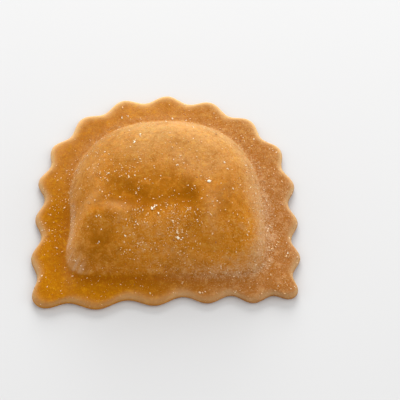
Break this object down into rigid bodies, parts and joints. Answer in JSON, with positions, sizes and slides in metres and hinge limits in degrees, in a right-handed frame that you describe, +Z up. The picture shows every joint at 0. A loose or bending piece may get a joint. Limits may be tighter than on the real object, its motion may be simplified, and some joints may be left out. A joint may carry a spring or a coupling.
{
  "type": "stuffed half-moon pasta",
  "caption": "Half-moon of fresh egg pasta, with a raised filled pocket inside a wide flat scalloped rim, to be boiled and served as stuffed pasta.",
  "frame": {"origin": "on the resting surface, under the middle of the outline's box", "axes": "+Z up out of the pocket's top, +Y towards the round side, +X to the right when seen from the straight side, along the widest extent"},
  "size_m": [0.07, 0.0644, 0.0144],
  "materials": {
    "fresh_dough": "satin golden egg dough, lightly dusted with semolina"
  },
  "bodies": {
    "root": {"stuffed_pasta": "fresh_dough"}
  },
  "joints": []
}
